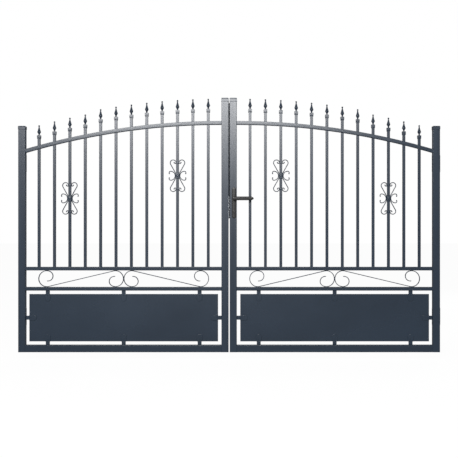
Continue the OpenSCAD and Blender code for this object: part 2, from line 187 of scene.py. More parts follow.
def piece(name, bm, body, finish, stands_for=(), mirrored=False):
    if mirrored:
        flip = Matrix.Translation((2 * middle_x, 0, 0)) @ Matrix.Scale(-1, 4, (1, 0, 0))
        bmesh.ops.transform(bm, matrix=flip, verts=bm.verts)
    bmesh.ops.recalc_face_normals(bm, faces=bm.faces)
    mesh = bpy.data.meshes.new(name)
    bm.to_mesh(mesh)
    bm.free()
    mesh.shade_smooth()
    mesh.set_sharp_from_angle(angle=math.radians(SMOOTH_BELOW))
    mesh.materials.append(finish)
    made = bpy.data.objects.new(name, mesh)
    bpy.context.scene.collection.objects.link(made)
    made.modifiers.new("even shading", "WEIGHTED_NORMAL").keep_sharp = True
    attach(made, body)
    if stands_for:
        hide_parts(*stands_for)
    triangles[name] = sum(len(face.vertices) - 2 for face in mesh.polygons)
    print(f"{name}: {triangles[name]} triangles on {body}")


def both_leaves(name, make, finish, nodes=()):
    for side in ("left", "right"):
        bm = bmesh.new()
        make(bm)
        piece(f"{side}_{name}", bm, f"{side}_leaf", finish,
              [f"{side}_{node}" for node in nodes], side == "right")


# %% [markdown]
# Powder coat. The gate is sprayed with a dry anthracite powder that melts into a satin skin. Up close
# the skin is never quite flat: it has a fine orange peel, it clouds a little along each tube, and it
# thins on the edges. A plain colour would look like plastic, so noise moves the colour and the
# roughness a little, a very fine noise makes the peel through a bump, and a comparison of the rounded
# and the true normal finds the edges. Seen at a slant the fine grain of a powder coat breaks up the
# gloss, so a face turned away stays dark instead of mirroring its surroundings. Every pattern is on
# object coordinates, so it stays on the piece.


# %% Powder coat
COAT_GLOSS = 0.3
SLANT_FROM, SLANT_TO, SLANT_DULLING = 0.35, 0.8, 0.7
PEEL_STRENGTH = 0.4
CLOUD_TONE, CLOUD_ROUGHNESS = 0.1, 0.02
EDGE_WIDTH = 2 * MM
EDGE_RUB = 0.06


def coat(name, colour, roughness, grain, depth, stretch, edge_lift=0.5, gloss=COAT_GLOSS):
    """Satin coat. Grain is the size of the peel and depth its height, stretch is the cloud's scale, and
    edge_lift says how much paler the coat is where it wears thin."""
    made = bpy.data.materials.new(name)
    made.use_nodes = True
    nodes, links = made.node_tree.nodes, made.node_tree.links
    shader = nodes["Principled BSDF"]
    place = nodes.new("ShaderNodeTexCoord").outputs["Object"]

    def noise(scale, detail, vector=place):
        made_noise = nodes.new("ShaderNodeTexNoise")
        made_noise.inputs["Scale"].default_value = scale
        made_noise.inputs["Detail"].default_value = detail
        links.new(vector, made_noise.inputs["Vector"])
        return made_noise.outputs["Fac"]

    def spread(value, from_min, from_max, to_min, to_max):
        made_range = nodes.new("ShaderNodeMapRange")
        for key, number in (("From Min", from_min), ("From Max", from_max), ("To Min", to_min),
                            ("To Max", to_max)):
            made_range.inputs[key].default_value = number
        links.new(value, made_range.inputs["Value"])
        return made_range.outputs["Result"]

    def blend(share, first, second):
        mix = nodes.new("ShaderNodeMix")
        mix.data_type = "RGBA"
        links.new(share, mix.inputs["Factor"])
        for socket, value in ((mix.inputs[6], first), (mix.inputs[7], second)):
            if isinstance(value, tuple):
                socket.default_value = (*value, 1)
            else:
                links.new(value, socket)
        return mix.outputs[2]

    def math_node(operation, first, second):
        made_math = nodes.new("ShaderNodeMath")
        made_math.operation = operation
        links.new(first, made_math.inputs[0])
        links.new(second, made_math.inputs[1])
        return made_math.outputs["Value"]

    mapping = nodes.new("ShaderNodeMapping")
    mapping.inputs["Scale"].default_value = stretch
    links.new(place, mapping.inputs["Vector"])
    cloud = spread(noise(1, 3, mapping.outputs["Vector"]), 0.3, 0.7, 0, 1)
    darker = tuple(c * (1 - CLOUD_TONE) for c in colour)
    lighter = tuple(c * (1 + CLOUD_TONE) for c in colour)
    worn = tuple(c * (1 + edge_lift) + 0.006 for c in colour)
    fleck = spread(noise(1 / grain, 2), 0.62, 0.75, 0, 0.35)

    bevel = nodes.new("ShaderNodeBevel")
    bevel.samples = 4
    bevel.inputs["Radius"].default_value = EDGE_WIDTH
    dot = nodes.new("ShaderNodeVectorMath")
    dot.operation = "DOT_PRODUCT"
    links.new(bevel.outputs["Normal"], dot.inputs[0])
    links.new(nodes.new("ShaderNodeNewGeometry").outputs["Normal"], dot.inputs[1])
    rim = spread(dot.outputs["Value"], 0.985, 0.86, 0, 1)
    patchy = spread(noise(45, 3), 0.42, 0.62, 0.1, 1)
    edge = math_node("MULTIPLY", rim, patchy)

    tone = blend(cloud, darker, lighter)
    tone = blend(fleck, tone, lighter)
    tone = blend(edge, tone, worn)
    links.new(tone, shader.inputs["Base Color"])
    rough = spread(cloud, 0, 1, roughness - CLOUD_ROUGHNESS, roughness + CLOUD_ROUGHNESS)
    rub = spread(edge, 0, 1, 0, EDGE_RUB)
    slant = nodes.new("ShaderNodeLayerWeight")
    slant.inputs["Blend"].default_value = 0.5
    dull = spread(slant.outputs["Facing"], SLANT_FROM, SLANT_TO, 0, SLANT_DULLING)
    links.new(math_node("ADD", math_node("ADD", rough, rub), dull), shader.inputs["Roughness"])
    shader.inputs["Specular IOR Level"].default_value = gloss
    bump = nodes.new("ShaderNodeBump")
    bump.inputs["Strength"].default_value = PEEL_STRENGTH
    bump.inputs["Distance"].default_value = depth
    links.new(noise(1 / grain, 2), bump.inputs["Height"])
    links.new(bump.outputs["Normal"], shader.inputs["Normal"])
    print(name, "coat with", len(nodes), "nodes")
    return made


ANTHRACITE = (0.003, 0.0095, 0.0195)
upright_coat = coat("upright_tube_coat", ANTHRACITE, 0.265, 1.1 * MM, 0.012 * MM, (30, 30, 1.2))
level_coat = coat("level_tube_coat", ANTHRACITE, 0.265, 1.1 * MM, 0.012 * MM, (1.2, 30, 30))
sheet_coat = coat("panel_sheet_coat", ANTHRACITE, 0.265, 1.4 * MM, 0.01 * MM, (2, 2, 3))
cast_coat = coat("cast_coat", ANTHRACITE, 0.28, 1.8 * MM, 0.018 * MM, (20, 20, 20))
weld_coat = coat("weld_bead_coat", ANTHRACITE, 0.28, 2.6 * MM, 0.12 * MM, (60, 60, 60))
hinge_coat = coat("hinge_coat", (0.012, 0.015, 0.019), 0.4, 1.5 * MM, 0.07 * MM, (25, 25, 25), 1.6)
handle_coat = coat("handle_coat", (0.012, 0.012, 0.012), 0.28, 0.9 * MM, 0.02 * MM, (30, 30, 30), 0.6,
                   gloss=0.2)
# Besides the real plugs and seals, this black rubber also paints the shade of the key slots in the lock
# cylinder.
rubber_and_slot_shade = coat("black_rubber", (0.012, 0.012, 0.013), 0.62, 1.2 * MM, 0.06 * MM, (80, 80, 10), 0.3)

# %% [markdown]
# Bare metal. The lock's face, its keeper and the spindle are dull stainless steel, brushed along their
# length, and the bolts are zinc plated. Both are metallic. Stretched noise in the roughness and the
# bump draws the brush marks, and round noise gives the zinc its mottled bloom.


# %% Brushed steel and zinc
MARK_ROUGHNESS = 0.08


def bare_metal(name, colour, roughness, stretch, depth):
    made = bpy.data.materials.new(name)
    made.use_nodes = True
    nodes, links = made.node_tree.nodes, made.node_tree.links
    shader = nodes["Principled BSDF"]
    shader.inputs["Metallic"].default_value = 1
    mapping = nodes.new("ShaderNodeMapping")
    mapping.inputs["Scale"].default_value = stretch
    links.new(nodes.new("ShaderNodeTexCoord").outputs["Object"], mapping.inputs["Vector"])
    marks = nodes.new("ShaderNodeTexNoise")
    marks.inputs["Detail"].default_value = 4
    marks.inputs["Scale"].default_value = 1
    links.new(mapping.outputs["Vector"], marks.inputs["Vector"])
    ramp = nodes.new("ShaderNodeValToRGB")
    ramp.color_ramp.elements[0].color = (*(c * 0.8 for c in colour), 1)
    ramp.color_ramp.elements[1].color = (*(min(1, c * 1.15) for c in colour), 1)
    ramp.color_ramp.elements[0].position = 0.3
    ramp.color_ramp.elements[1].position = 0.7
    links.new(marks.outputs["Fac"], ramp.inputs["Fac"])
    links.new(ramp.outputs["Color"], shader.inputs["Base Color"])
    rough = nodes.new("ShaderNodeMapRange")
    rough.inputs["To Min"].default_value = roughness - MARK_ROUGHNESS
    rough.inputs["To Max"].default_value = roughness + MARK_ROUGHNESS
    links.new(marks.outputs["Fac"], rough.inputs["Value"])
    links.new(rough.outputs["Result"], shader.inputs["Roughness"])
    bump = nodes.new("ShaderNodeBump")
    bump.inputs["Strength"].default_value = 0.5
    bump.inputs["Distance"].default_value = depth
    links.new(marks.outputs["Fac"], bump.inputs["Height"])
    links.new(bump.outputs["Normal"], shader.inputs["Normal"])
    print(name, "metal with", len(nodes), "nodes")
    return made


brushed_steel = bare_metal("brushed_steel", (0.22, 0.23, 0.24), 0.34, (2500, 2500, 25), 0.02 * MM)
zinc = bare_metal("zinc_plate", (0.42, 0.42, 0.4), 0.42, (260, 260, 260), 0.03 * MM)

# %% [markdown]
# Stiles. Each leaf stands between two uprights of 50 mm square tube. A cube with sharp edges would do
# from far off, but extruded tube has a corner radius of about 2 mm. The block is bevelled only along
# its length. Below, the end is inset to show the tube's wall, and a plastic plug closes it.

# %% Stile tubes and their plugs
TUBE_EDGE = 2.2 * MM
TUBE_WALL = 2 * MM
TUBE_HOLLOW = 4 * MM
PLUG_PLAY = 0.4 * MM
PLUG_T = 3 * MM
PLUG_UP = 0.5 * MM


def stile_tube(bm, low, high):
    block(bm, low, high, TUBE_EDGE, along=2, segments=4)
    foot = min(bm.faces, key=lambda face: face.calc_center_median().z)
    bmesh.ops.inset_individual(bm, faces=[foot], thickness=TUBE_WALL)
    bmesh.ops.inset_individual(bm, faces=[foot], thickness=MM / 20, depth=-TUBE_HOLLOW)


def stile_plugs(bm):
    inset = TUBE_WALL + PLUG_PLAY
    for low, high in ((hinge_low, hinge_high), (meeting_low, meeting_high)):
        block(bm, (low.x + inset, low.y + inset, low.z + PLUG_UP),
              (high.x - inset, high.y - inset, low.z + PLUG_UP + PLUG_T), 1 * MM)


both_leaves("hinge_stile_tube", lambda bm: stile_tube(bm, hinge_low, hinge_high),
            upright_coat, ["hinge_stile"])
both_leaves("meeting_stile_tube", lambda bm: stile_tube(bm, meeting_low, meeting_high),
            upright_coat, ["meeting_stile"])
both_leaves("stile_plugs", stile_plugs, rubber_and_slot_shade)

# %% [markdown]
# Stile caps. A cast cap sits on each stile and throws off the rain. A narrow neck leaves a dark joint
# above the tube, then comes a tall upright band and a softly rounded top. Extruding the top face of a
# block several times, each time a little wider or narrower, gives that stepped outline, and one bevel
# softens all of it. Each step is a height above the tube and a width there, in millimetres.

# %% Stile caps
CAP_STEPS = ((1.6, 47.5), (2.4, 53), (21.5, 53), (23, 53), (26, 50.5), (28, 43))
CAP_EDGE = 0.35 * MM


def cap(bm):
    width = CAP_STEPS[0][1] * MM
    bmesh.ops.create_cube(bm, size=1, matrix=Matrix.Translation((0, 0, CAP_STEPS[0][0] * MM / 2))
                          @ Matrix.Diagonal((width, width, CAP_STEPS[0][0] * MM, 1)))
    top = max(bm.faces, key=lambda face: face.calc_center_median().z)
    for (level, side), (next_level, next_side) in zip(CAP_STEPS, CAP_STEPS[1:]):
        made = bmesh.ops.extrude_face_region(bm, geom=[top])["geom"]
        top = next(g for g in made if isinstance(g, bmesh.types.BMFace))
        share = next_side / side
        bmesh.ops.scale(bm, vec=(share, share, 1), verts=top.verts)
        bmesh.ops.translate(bm, vec=(0, 0, (next_level - level) * MM), verts=top.verts)
    bmesh.ops.bevel(bm, geom=bm.edges[:], offset=CAP_EDGE, segments=3, affect="EDGES", profile=0.5,
                    material=-1, clamp_overlap=True)


cap_shape = shape_of(cap)


def stile_caps(bm):
    for low, high in solids("left_stile_caps"):
        stamp(bm, cap_shape, Matrix.Translation(((low.x + high.x) / 2, mid_y, low.z)))


both_leaves("cast_stile_caps", stile_caps, cast_coat, ["stile_caps"])

# %% [markdown]
# Level rails. The bottom rail is the same tube as the stiles, and the panel rail and bar rail are a
# flat tube of 40 by 25 mm. They run between the stiles, so only their long edges are rounded.

# %% Level rails
for rail, label in (("bottom_rail", "bottom_tube"), ("panel_rail", "panel_rail_tube"),
                    ("bar_rail", "bar_rail_tube")):
    both_leaves(label, lambda bm, rail=rail: block(bm, *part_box(f"left_{rail}"), TUBE_EDGE, along=0),
                level_coat, [rail])

# %% [markdown]
# Arched top rail. The flat tube is rolled to a radius, so that the gate is highest in the middle. It
# could be a curve with a bevel, but a spin of the tube's own section about the arch's centre is what
# the rolling machine does. The stiles' heights give the fall of the arch, and the radius follows from
# the fall and the bay. The spin runs a little too far, and a plane trims it upright at the stile.

# %% Arched top rail
ARCH_OVERRUN = math.radians(1)
fall = meeting_high.z - hinge_high.z
arch_r = (bay ** 2 + fall ** 2) / (2 * fall)
arch_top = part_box("left_top_rail")[1].z
rail_low, rail_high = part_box("left_bar_rail")
rail_h = rail_high.z - rail_low.z
rail_d = rail_high.y - rail_low.y
print("arch radius", round(arch_r, 3), "fall", round(fall, 3))


def arch_z(x):
    """Height of the top of the arched rail at x."""
    return arch_top - arch_r + math.sqrt(arch_r ** 2 - (x - bay_x1) ** 2)


def arch_tilt(x):
    """Slope of the arched rail at x, as an angle about +Y."""
    return math.asin((x - bay_x1) / arch_r)


def arched_tube(bm):
    corners = [bm.verts.new((bay_x1, mid_y + y * rail_d / 2, arch_top - z * rail_h))
               for y, z in ((-1, 0), (1, 0), (1, 1), (-1, 1))]
    bm.faces.new(corners)
    bmesh.ops.bevel(bm, geom=corners, offset=TUBE_EDGE, segments=3, affect="VERTICES", profile=0.5,
                    material=-1)
    bmesh.ops.spin(bm, geom=bm.verts[:] + bm.edges[:], cent=(bay_x1, mid_y, arch_top - arch_r),
                   axis=(0, -1, 0), angle=math.asin(bay / arch_r) + ARCH_OVERRUN, steps=64)
    cut = bmesh.ops.bisect_plane(bm, geom=bm.verts[:] + bm.edges[:] + bm.faces[:],
                                 plane_co=(bay_x0, 0, 0), plane_no=(-1, 0, 0), clear_outer=True)
    rim = [g for g in cut["geom_cut"] if isinstance(g, bmesh.types.BMEdge)]
    bmesh.ops.holes_fill(bm, edges=rim, sides=0)


both_leaves("arched_top_tube", arched_tube, level_coat, ["top_rail"])

# %% [markdown]
# Bars. Twelve bars of 20 mm square tube stand on the bar rail, pass through the arched rail and end
# inside their finials. Each takes its box from the frame and gets a small corner radius.

# %% Bars
BAR_EDGE = 1.6 * MM
bar_boxes = solids("left_bars")
bar_side = bar_boxes[0][1].x - bar_boxes[0][0].x
bar_xs = [(low.x + high.x) / 2 for low, high in bar_boxes]
print(len(bar_boxes), "bars of", round(bar_side / MM, 1), "mm, spacing",
      round((bar_xs[1] - bar_xs[0]) / MM, 1), "mm")


def square_bars(bm):
    for low, high in bar_boxes:
        block(bm, low, high, BAR_EDGE, along=2)


both_leaves("square_bar_tubes", square_bars, upright_coat, ["bars"])

# %% [markdown]
# Weld beads. The tubes are welded, and the bead shows as a soft collar where one tube meets another:
# round the foot of each bar, under the arched rail, and where each rail meets a stile. A bead could be
# a swept ripple, but at this size a thin rounded collar with a coarse bump reads the same and stays
# light. It is made a little larger than the tube that it goes round.

# %% Weld beads
BEAD = 1.3 * MM
BEAD_EDGE = 0.85 * BEAD


def bar_bead(bm):
    half = bar_side / 2 + BEAD
    block(bm, (-half, -half, -BEAD), (half, half, BEAD), BEAD_EDGE)


def rail_bead(bm, low, high, x):
    block(bm, (x - BEAD, low.y - BEAD, low.z - BEAD), (x + BEAD, high.y + BEAD, high.z + BEAD), BEAD_EDGE)


bead_shape = shape_of(bar_bead)


def weld_beads(bm):
    for x in bar_xs:
        stamp(bm, bead_shape, Matrix.Translation((x, mid_y, rail_high.z)))
        tilt = Matrix.Rotation(arch_tilt(x), 4, "Y")
        under = arch_z(x) - rail_h / math.cos(arch_tilt(x))
        stamp(bm, bead_shape, Matrix.Translation((x, mid_y, under)) @ tilt)
    for rail in ("panel_rail", "bar_rail"):
        low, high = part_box(f"left_{rail}")
        for x in (bay_x0, bay_x1):
            rail_bead(bm, low, high, x)
    low_end = Vector((0, mid_y - rail_d / 2, arch_z(bay_x0) - rail_h / math.cos(arch_tilt(bay_x0))))
    rail_bead(bm, low_end, Vector((0, mid_y + rail_d / 2, arch_z(bay_x0))), bay_x0)
    high_end = Vector((0, mid_y - rail_d / 2, arch_top - rail_h))
    rail_bead(bm, high_end, Vector((0, mid_y + rail_d / 2, arch_top)), bay_x1)


both_leaves("weld_beads", weld_beads, weld_coat)

# %% [markdown]
# Finials. A cast spear ends each bar: a small ball, a slim point that flares to a belly, a narrow foot,
# and a square block whose socket slips over the bar. The turned part is drawn as half of its outline
# and spun round the bar's axis. The block is square, so it is made of bevelled blocks, and a full
# round bead closes the socket. Here sizes are in millimetres and depths run down from the tip: the neck,
# the belly and the foot are a radius and a depth, and each block is half its width, the depths of its
# top and bottom, its edge and the segments of that edge.

# %% Finials
FINIAL_H = 99
BALL_R = 6.2
NECK = (3.8, 11.4)
BELLY = (13, 50)
FOOT = (4.3, 70)
FINIAL_BLOCKS = ((13.2, 73.5, 90.5, 1.2, 3), (11.8, 90, FINIAL_H, 0.6, 2), (13.4, 92.6, 96.8, 2, 4))


def turned_outline():
    """Radius and depth of the turned part, from the top down."""
    ball = [(BALL_R * math.sin(math.radians(a)), BALL_R - BALL_R * math.cos(math.radians(a)))
            for a in range(0, 151, 25)]
    flare = [(NECK[0] + (BELLY[0] - NECK[0]) * t ** 1.35, NECK[1] + (BELLY[1] - 2 - NECK[1]) * t)
             for t in (k / 8 for k in range(9))]
    under = [(FOOT[0] + (BELLY[0] - FOOT[0]) * (1 - t) ** 1.25,
              BELLY[1] + 1 + (FOOT[1] - BELLY[1] - 1) * t) for t in (k / 5 for k in range(6))]
    foot = [(6.4, 70.8), (7, 72), (7, 74.5), (0, 74.5)]
    return ball + flare + under + foot


def finial(bm):
    chain = [bm.verts.new((r * MM, 0, -depth * MM)) for r, depth in turned_outline()]
    for upper, lower in zip(chain, chain[1:]):
        bm.edges.new((upper, lower))
    bmesh.ops.spin(bm, geom=bm.verts[:] + bm.edges[:], cent=(0, 0, 0), axis=(0, 0, 1),
                   angle=2 * math.pi, steps=24, use_merge=True)
    bmesh.ops.remove_doubles(bm, verts=bm.verts, dist=MM / 100)
    for half, top, bottom, edge, segments in FINIAL_BLOCKS:
        block(bm, (-half * MM, -half * MM, -bottom * MM), (half * MM, half * MM, -top * MM),
              edge * MM, segments=segments)


finial_shape = shape_of(finial)


def finials(bm):
    for low, high in solids("left_finials"):
        stamp(bm, finial_shape, Matrix.Translation(((low.x + high.x) / 2, mid_y, high.z)))


both_leaves("cast_finials", finials, cast_coat, ["finials"])

# %% [markdown]
# Bent strips. The scrolls and the ornaments are strips that run straight and turn in arcs. A curve
# object could follow them, but a smith bends a strip round a former, and spin does the same: it
# carries the strip's section round the arc's centre. A straight run only moves the section along.


# %% Helpers for bent strips
def section(bm, x, z, heading, width, depth, corner):
    """A rounded section across a strip at (x, z) that sets off at heading degrees."""
    across = Vector((-math.sin(math.radians(heading)), 0, math.cos(math.radians(heading))))
    at = Vector((x, 0, z))
    corners = [bm.verts.new(at + across * s * width / 2 + Vector((0, d * depth / 2, 0)))
               for s, d in ((1, 1), (1, -1), (-1, -1), (-1, 1))]
    bm.faces.new(corners)
    bmesh.ops.bevel(bm, geom=corners, offset=corner, segments=3, affect="VERTICES", profile=0.5,
                    material=-1)
    return bm.edges[:]


def straight(bm, ring, x, z):
    """Carries the strip straight on by (x, z) and gives its new end."""
    made = bmesh.ops.extrude_edge_only(bm, edges=ring)["geom"]
    verts = {g for g in made if isinstance(g, bmesh.types.BMVert)}
    bmesh.ops.translate(bm, vec=(x, 0, z), verts=list(verts))
    return [g for g in made if isinstance(g, bmesh.types.BMEdge) and set(g.verts) <= verts]


def bend(bm, ring, centre, degrees, steps):
    """Bends the strip about a centre, to the left where degrees are positive."""
    verts = list({vert for edge in ring for vert in edge.verts})
    made = bmesh.ops.spin(bm, geom=verts + ring, cent=(centre[0], 0, centre[1]), axis=(0, -1, 0),
                          angle=math.radians(degrees), steps=steps)
    return [g for g in made["geom_last"] if isinstance(g, bmesh.types.BMEdge)]


def on_circle(centre, radius, degrees):
    return (centre[0] + radius * math.cos(math.radians(degrees)),
            centre[1] + radius * math.sin(math.radians(degrees)))


# %% [markdown]
# Scrolls. In the band above the panel, two long S shapes of flat bar meet in the middle of the leaf.
# Each end of an S is a large turn that tightens into a small one, and a straight run that touches both
# large turns joins them. The second half of an S is the first one turned about its middle, so the same
# steps are taken in reverse. The frame's box gives the radius of the large turns.

# %% Scrolls
STRIP_T = 5 * MM
STRIP_D = 14 * MM
STRIP_EDGE = 1.2 * MM
CURL_R = 35.5 * MM
CURL_FROM = 64
CURL_TO = -100
SCROLL_LAP = 0.5 * MM
scroll_low, scroll_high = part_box("left_scrolls")
turn_r = (scroll_high.z - scroll_low.z - STRIP_T) / 2
scroll_z = (scroll_high.z + scroll_low.z) / 2
leaf_mid_x = (bay_x0 + bay_x1) / 2
eye_x = scroll_low.x + turn_r + STRIP_T / 2
eye_gap = leaf_mid_x + SCROLL_LAP - turn_r - STRIP_T / 2 - eye_x
run_angle = math.degrees(math.asin(2 * turn_r / eye_gap))
print("scroll turns", round(turn_r / MM, 1), "mm, run at", round(run_angle, 1), "degrees")


def scroll(bm):
    large = (-eye_gap / 2, 0)
    small = on_circle(large, turn_r - CURL_R, CURL_FROM)
    start = on_circle(small, CURL_R, CURL_TO)
    first = section(bm, *start, CURL_TO + 90, STRIP_T, STRIP_D, STRIP_EDGE)
    curl, sweep = CURL_FROM - CURL_TO, 270 + run_angle - CURL_FROM
    ring = bend(bm, first, small, curl, 24)
    ring = bend(bm, ring, large, sweep, 48)
    x, z = on_circle(large, turn_r, 270 + run_angle)
    ring = straight(bm, ring, -2 * x, -2 * z)
    ring = bend(bm, ring, (-large[0], 0), -sweep, 48)
    ring = bend(bm, ring, (-small[0], -small[1]), -curl, 24)
    bmesh.ops.holes_fill(bm, edges=ring, sides=0)
    bmesh.ops.bevel(bm, geom=first + ring, offset=STRIP_EDGE, segments=2, affect="EDGES", profile=0.5,
                    material=-1)


scroll_shape = shape_of(scroll)


def scrolls(bm):
    place = Matrix.Translation((eye_x + eye_gap / 2, mid_y, scroll_z))
    flip = Matrix.Translation((2 * leaf_mid_x, 0, 0)) @ Matrix.Scale(-1, 4, (1, 0, 0))
    stamp(bm, scroll_shape, place)
    stamp(bm, scroll_shape, flip @ place)


both_leaves("bent_scrolls", scrolls, level_coat, ["scrolls"])

# %% [markdown]
# Cast ornaments. Two bars of each leaf carry a casting of thin limbs: four hearts, a C on each side,
# and a knot that hides where they meet the bar. One heart and one C are bent from a nearly round
# strip, and mirror images make the rest. Every limb ends in a small bud, and a narrow band holds the
# curled ends of the hearts against the bar.

# %% Ornaments
LIMB = (6 * MM, 8 * MM, 2.6 * MM)
HEART_FOOT = (13 * MM, 17 * MM)
LOBE = (31 * MM, 92 * MM)
LOBE_R = 21 * MM
LOBE_FROM = -28
LOBE_TO = 170
CURL_BACK_R = 7 * MM
C_R = 32 * MM
C_TIP_R = 11 * MM
C_X = 49 * MM
BUD_R = 4.4 * MM
KNOT = Vector((15, 15, 21)) * MM
KNOT_FRONT = 17.5 * MM
BAND = Vector((13.5, 13, 6)) * MM
BAND_Z = 94 * MM


def bud(bm, at):
    bmesh.ops.create_uvsphere(bm, u_segments=16, v_segments=10, radius=BUD_R,
                              matrix=Matrix.Translation((at[0], 0, at[1]))
                              @ Matrix.Diagonal((1, 1.1, 1, 1)))


def heart_limb(bm):
    start = on_circle(LOBE, LOBE_R, LOBE_FROM)
    run = (start[0] - HEART_FOOT[0], start[1] - HEART_FOOT[1])
    ring = section(bm, *HEART_FOOT, math.degrees(math.atan2(run[1], run[0])), *LIMB)
    ring = straight(bm, ring, *run)
    ring = bend(bm, ring, LOBE, LOBE_TO - LOBE_FROM, 22)
    curl = on_circle(LOBE, LOBE_R - CURL_BACK_R, LOBE_TO)
    ring = bend(bm, ring, curl, 360 - LOBE_TO, 14)
    bmesh.ops.holes_fill(bm, edges=ring, sides=0)
    bud(bm, on_circle(curl, CURL_BACK_R, 0))


def c_limb(bm):
    upper, lower = (C_X, C_R - C_TIP_R), (C_X, C_TIP_R - C_R)
    tip = on_circle(upper, C_TIP_R, -30)
    ring = section(bm, *tip, 60, *LIMB)
    ring = bend(bm, ring, upper, 120, 12)
    ring = bend(bm, ring, (C_X, 0), 180, 24)
    ring = bend(bm, ring, lower, 120, 12)
    bmesh.ops.holes_fill(bm, edges=ring, sides=0)
    bud(bm, tip)
    bud(bm, (tip[0], -tip[1]))


heart_shape = shape_of(heart_limb)
c_shape = shape_of(c_limb)


def ornament(bm):
    for x in (1, -1):
        stamp(bm, c_shape, Matrix.Diagonal((x, 1, 1, 1)))
        for z in (1, -1):
            stamp(bm, heart_shape, Matrix.Diagonal((x, 1, z, 1)))
    block(bm, -KNOT, KNOT, 5 * MM, segments=4)
    for y in (-1, 1):
        rod(bm, (0, y * 13 * MM, 0), (0, y * KNOT_FRONT, 0), KNOT.x, 1.2 * MM, 7 * MM, sides=4)
    for z in (-BAND_Z, BAND_Z):
        block(bm, Vector((0, 0, z)) - BAND, Vector((0, 0, z)) + BAND, 2.5 * MM)


ornament_shape = shape_of(ornament)


def ornaments(bm):
    for low, high in solids("left_ornaments"):
        stamp(bm, ornament_shape, Matrix.Translation((low + high) / 2))


both_leaves("cast_ornaments", ornaments, cast_coat, ["ornaments"])

# %% [markdown]
# Lower panel. A flat sheet of 3 mm closes the lower part of a leaf and hangs free of the frame all
# round. Its cut edges are broken with a small radius.

# %% Lower panel
SHEET_EDGE = 0.8 * MM
both_leaves("panel_sheet", lambda bm: block(bm, *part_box("left_panel"), SHEET_EDGE), sheet_coat,
            ["panel"])

# %% [markdown]
# Panel clips. Eight clips hold the panel: three above, three below and one at each side. A clip is a
# neck that crosses the gap and two plates with round ends that pinch the sheet, with a screw through
# them. The round end is a vertex bevel as wide as half the plate, and an inset raises the middle, as
# a pressed plate has. A clip is made once, hanging from the origin, and turned to its place.

# %% Panel clips
CLIP_NECK = (28 * MM, 25 * MM)
CLIP_PLATE = (40 * MM, 52 * MM)
SHEET_T = 3 * MM
CLIP_T = 4 * MM
CLIP_WALL, CLIP_SLOPE = 2.6 * MM, (1.6 * MM, 1.4 * MM)
ROUND_END = 0.995


def button_screw(bm, seat, out, radius, height):
    """A low screw head on its seat, facing along out, with a round recess for the key."""
    seat, out = Vector(seat), Vector(out)
    place = Matrix.Translation(seat + out * height / 2) @ out.to_track_quat("Z", "Y").to_matrix().to_4x4()
    verts = bmesh.ops.create_cone(bm, cap_ends=True, segments=20, radius1=radius,
                                  radius2=radius * 0.72, depth=height, matrix=place)["verts"]
    head = max(faces_of(verts), key=lambda face: face.calc_center_median().dot(out))
    bmesh.ops.inset_individual(bm, faces=[head], thickness=radius * 0.28)
    bmesh.ops.inset_individual(bm, faces=[head], thickness=MM / 10, depth=-0.6 * height)


def raised_plate(bm, corners, rounds, wall, slope_in, slope_up, out):
    """A flat outline with rounded corners, thickened along out and raised in the middle."""
    verts = [bm.verts.new(corner) for corner in corners]
    others = set(bm.faces)
    bm.faces.new(verts)
    for picked, offset, segments in rounds:
        bmesh.ops.bevel(bm, geom=[verts[k] for k in picked], offset=offset, segments=segments,
                        affect="VERTICES", profile=0.5, material=-1)
    outline = next(face for face in bm.faces if face not in others)
    made = bmesh.ops.extrude_face_region(bm, geom=[outline])["geom"]
    top = next(g for g in made if isinstance(g, bmesh.types.BMFace))
    bmesh.ops.translate(bm, vec=Vector(out) * wall, verts=top.verts)
    bmesh.ops.recalc_face_normals(bm, faces=[face for face in bm.faces if face not in others])
    bmesh.ops.inset_region(bm, faces=[top], thickness=slope_in, depth=slope_up)


def clip(bm):
    depth = SHEET_T + 2 * CLIP_T
    block(bm, (-CLIP_NECK[0] / 2, -depth / 2, -CLIP_NECK[1]), (CLIP_NECK[0] / 2, depth / 2, 0), 1 * MM)
    top, end = -CLIP_NECK[1] + 0.5 * MM, -CLIP_NECK[1] - CLIP_PLATE[1]
    half = CLIP_PLATE[0] / 2
    for side in (-1, 1):
        y = side * SHEET_T / 2
        corners = [(-half, y, top), (half, y, top), (half, y, end), (-half, y, end)]
        raised_plate(bm, corners, (((2, 3), half * ROUND_END, 10), ((0, 1), 3 * MM, 3)), CLIP_WALL,
                     *CLIP_SLOPE, (0, side, 0))
        button_screw(bm, (0, side * (SHEET_T / 2 + CLIP_T), -CLIP_NECK[1] - 9 * MM), (0, side, 0),
                     4.5 * MM, 2.4 * MM)


clip_shape = shape_of(clip)


def panel_clips(bm):
    under_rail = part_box("left_panel_rail")[0].z
    on_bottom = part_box("left_bottom_rail")[1].z
    for low, high in solids("left_panel_clips"):
        centre = (low + high) / 2
        if abs(high.z - under_rail) < MM:
            place, turned = (centre.x, mid_y, under_rail), 0
        elif abs(low.z - on_bottom) < MM:
            place, turned = (centre.x, mid_y, on_bottom), 180
        elif abs(low.x - bay_x0) < MM:
            place, turned = (bay_x0, mid_y, centre.z), -90
        else:
            place, turned = (bay_x1, mid_y, centre.z), 90
        stamp(bm, clip_shape, Matrix.Translation(place) @ Matrix.Rotation(math.radians(turned), 4, "Y"))


both_leaves("pressed_clips", panel_clips, sheet_coat, ["panel_clips"])

# %% [markdown]
# Hinges. Each leaf hangs on two pins. The leaf's half is a strap bolted to the back of the stile, with
# an eye on a short web. The pier's half is a wall plate, an arm and the fixed pin. They are plain steel
# parts, so bevelled blocks and chamfered rods are what they are, with hexagon bolts and washers. The
# pin's axis comes from the frame's joint.

# %% Hinge eyes
EYE_R = 15 * MM
PIN_R = 8 * MM
EYE_HALF = 20 * MM
WEB_HALF = 6 * MM
STRAP_T = 5 * MM
PLATE_H = 120 * MM
STRAP_BOLT_Z = 43 * MM


